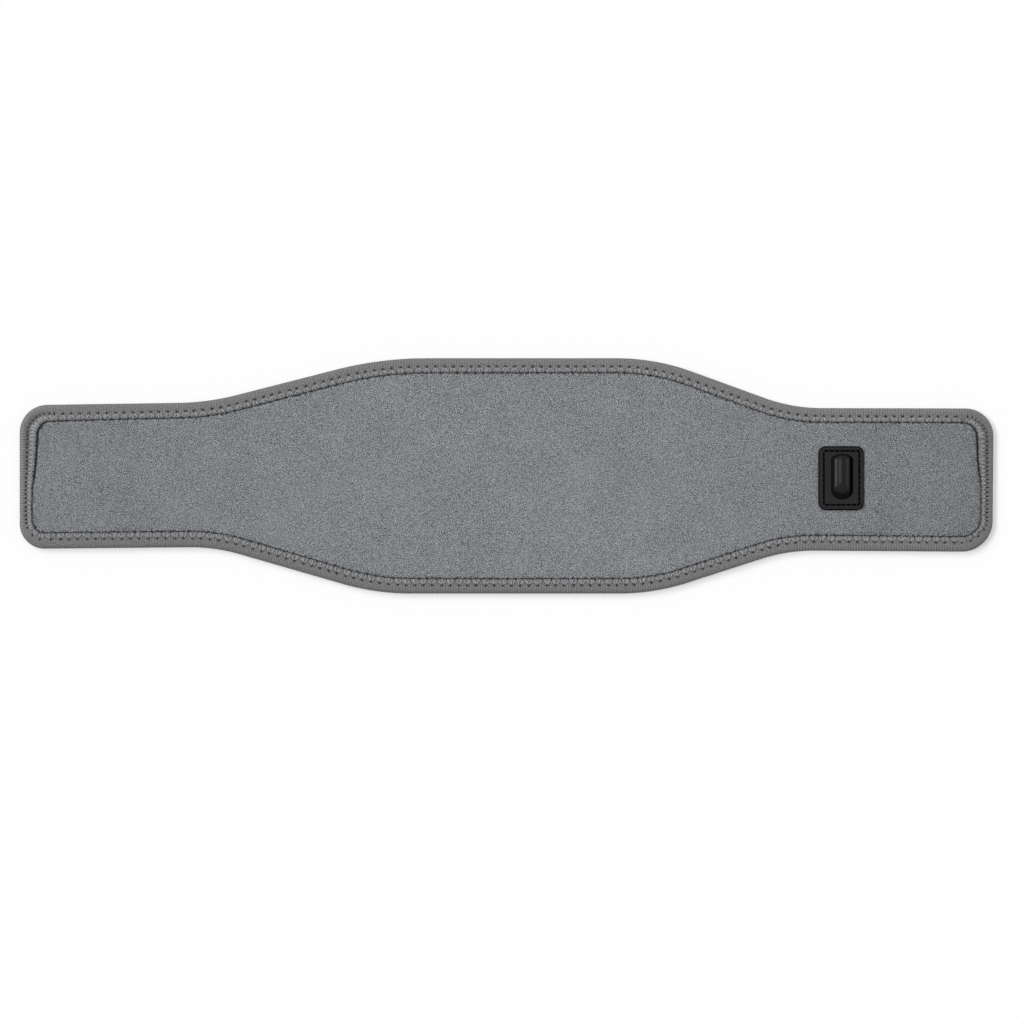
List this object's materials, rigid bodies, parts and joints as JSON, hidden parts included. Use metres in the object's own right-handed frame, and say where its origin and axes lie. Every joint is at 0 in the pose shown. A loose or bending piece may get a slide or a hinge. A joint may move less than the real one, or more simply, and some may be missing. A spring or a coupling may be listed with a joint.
{
  "type": "back brace",
  "caption": "Flat padded waist belt with a plush outer face, bound edge, hook panel under one end and a sewn rubber press control, which wraps round the lower back.",
  "frame": {"origin": "middle of the footprint, on the surface that the brace lies on, body side down", "axes": "+X along the belt to the wearer's right end with the control patch, +Y the wearer's up, +Z out of the plush face"},
  "size_m": [0.974, 0.2354, 0.0167],
  "materials": {
    "plush": "grey brushed loop plush",
    "foam": "soft black foam sheet",
    "lining": "grey knitted lining",
    "tape": "grey ribbed binding tape",
    "rubber": "satin black moulded rubber",
    "hook": "black hook tape",
    "film": "printed carbon heating film",
    "lead": "black flat lead",
    "board": "green circuit board",
    "switch": "black moulded switch case"
  },
  "bodies": {
    "centre": {"lining_centre": "lining", "core_centre": "foam", "face_centre": "plush", "binding_top_centre": "tape", "binding_low_centre": "tape", "lead_centre": "lead", "heating_film": "film", "thermal_cutout": "switch"},
    "left_1": {"lining_left_1": "lining", "core_left_1": "foam", "face_left_1": "plush", "binding_top_left_1": "tape", "binding_low_left_1": "tape"},
    "left_2": {"lining_left_2": "lining", "core_left_2": "foam", "face_left_2": "plush", "binding_top_left_2": "tape", "binding_low_left_2": "tape"},
    "left_3": {"lining_left_3": "lining", "core_left_3": "foam", "face_left_3": "plush", "binding_top_left_3": "tape", "binding_low_left_3": "tape"},
    "left_tip": {"lining_left_tip": "lining", "core_left_tip": "foam", "face_left_tip": "plush", "binding_left_tip": "tape"},
    "right_1": {"lining_right_1": "lining", "core_right_1": "foam", "face_right_1": "plush", "binding_top_right_1": "tape", "binding_low_right_1": "tape", "lead_right_1": "lead"},
    "right_2": {"lining_right_2": "lining", "core_right_2": "foam", "face_right_2": "plush", "binding_top_right_2": "tape", "binding_low_right_2": "tape", "lead_right_2": "lead"},
    "right_3": {"lining_right_3": "lining", "core_right_3": "foam", "face_right_3": "plush", "binding_top_right_3": "tape", "binding_low_right_3": "tape", "lead_right_3": "lead", "control_patch": "rubber", "control_board": "board", "push_switch": "switch"},
    "right_tip": {"lining_right_tip": "lining", "core_right_tip": "foam", "face_right_tip": "plush", "binding_right_tip": "tape", "hook_panel": "hook"},
    "dome": {"press_dome": "rubber"}
  },
  "joints": [
    {"name": "left_bend_1", "type": "hinge", "parent": "centre", "child": "left_1", "pos_m": [-0.095, 0, 0.00405], "axis": [0, -1, 0], "range_deg": [-25, 50], "stiffness_Nm_per_rad": 0.02},
    {"name": "left_bend_2", "type": "hinge", "parent": "left_1", "child": "left_2", "pos_m": [-0.19, 0, 0.00405], "axis": [0, -1, 0], "range_deg": [-27.05, 54.05], "stiffness_Nm_per_rad": 0.02},
    {"name": "left_bend_3", "type": "hinge", "parent": "left_2", "child": "left_3", "pos_m": [-0.285, 0, 0.00405], "axis": [0, -1, 0], "range_deg": [-22.05, 44.05], "stiffness_Nm_per_rad": 0.02},
    {"name": "left_bend_4", "type": "hinge", "parent": "left_3", "child": "left_tip", "pos_m": [-0.385, 0, 0.00405], "axis": [0, -1, 0], "range_deg": [-17.05, 34.05], "stiffness_Nm_per_rad": 0.02},
    {"name": "right_bend_1", "type": "hinge", "parent": "centre", "child": "right_1", "pos_m": [0.095, 0, 0.00405], "axis": [0, 1, 0], "range_deg": [-24, 48], "stiffness_Nm_per_rad": 0.02},
    {"name": "right_bend_2", "type": "hinge", "parent": "right_1", "child": "right_2", "pos_m": [0.19, 0, 0.00405], "axis": [0, 1, 0], "range_deg": [-24.05, 48.05], "stiffness_Nm_per_rad": 0.02},
    {"name": "right_bend_3", "type": "hinge", "parent": "right_2", "child": "right_3", "pos_m": [0.285, 0, 0.00405], "axis": [0, 1, 0], "range_deg": [-24.05, 48.05], "stiffness_Nm_per_rad": 0.02},
    {"name": "right_bend_4", "type": "hinge", "parent": "right_3", "child": "right_tip", "pos_m": [0.385, 0, 0.00405], "axis": [0, 1, 0], "range_deg": [-17.05, 34.05], "stiffness_Nm_per_rad": 0.02},
    {"name": "dome_press", "type": "slide", "parent": "right_3", "child": "dome", "axis": [0, 0, -1], "range_m": [0, 0.0012], "stiffness_N_per_m": 400}
  ],
  "couplings": [
    {"joint": "left_bend_2", "follows": "left_bend_1", "ratio": 1.08},
    {"joint": "left_bend_3", "follows": "left_bend_1", "ratio": 0.88},
    {"joint": "left_bend_4", "follows": "left_bend_1", "ratio": 0.68},
    {"joint": "right_bend_2", "follows": "right_bend_1", "ratio": 1},
    {"joint": "right_bend_3", "follows": "right_bend_1", "ratio": 1},
    {"joint": "right_bend_4", "follows": "right_bend_1", "ratio": 0.70833}
  ]
}
